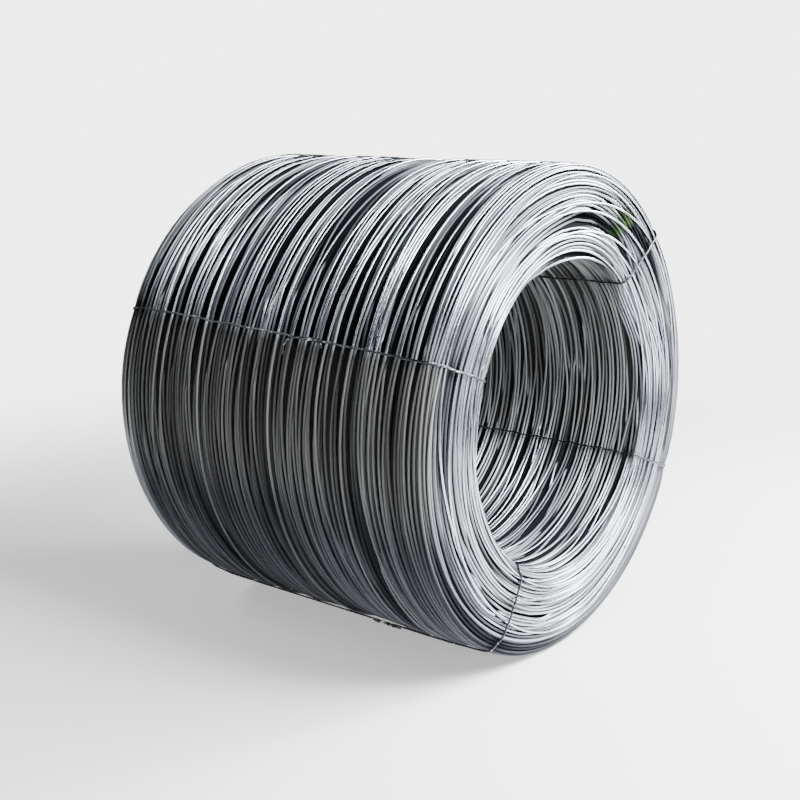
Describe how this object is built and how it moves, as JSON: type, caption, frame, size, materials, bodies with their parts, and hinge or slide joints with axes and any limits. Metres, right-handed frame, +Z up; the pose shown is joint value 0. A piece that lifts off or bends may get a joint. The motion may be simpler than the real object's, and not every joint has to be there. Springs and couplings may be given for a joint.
{
  "type": "coil of wire rod",
  "caption": "Lying coil of bare steel wire rod with an open bore and rounded ends, held by taut tie wires.",
  "frame": {"origin": "on the floor under the middle of the coil, which lies on its side", "axes": "+X along the coil's axis towards its front end, +Z up"},
  "size_m": [1.0406, 1.2398, 1.2398],
  "materials": {
    "rod_steel": "bare rolled steel rod, bright silver with darker grey turns",
    "tie_steel": "dull annealed steel wire with bright cut ends"
  },
  "bodies": {
    "root": {"coil": "rod_steel", "tie_upper_right": "tie_steel", "tie_lower_right": "tie_steel", "tie_lower_left": "tie_steel", "tie_upper_left": "tie_steel"}
  },
  "joints": []
}
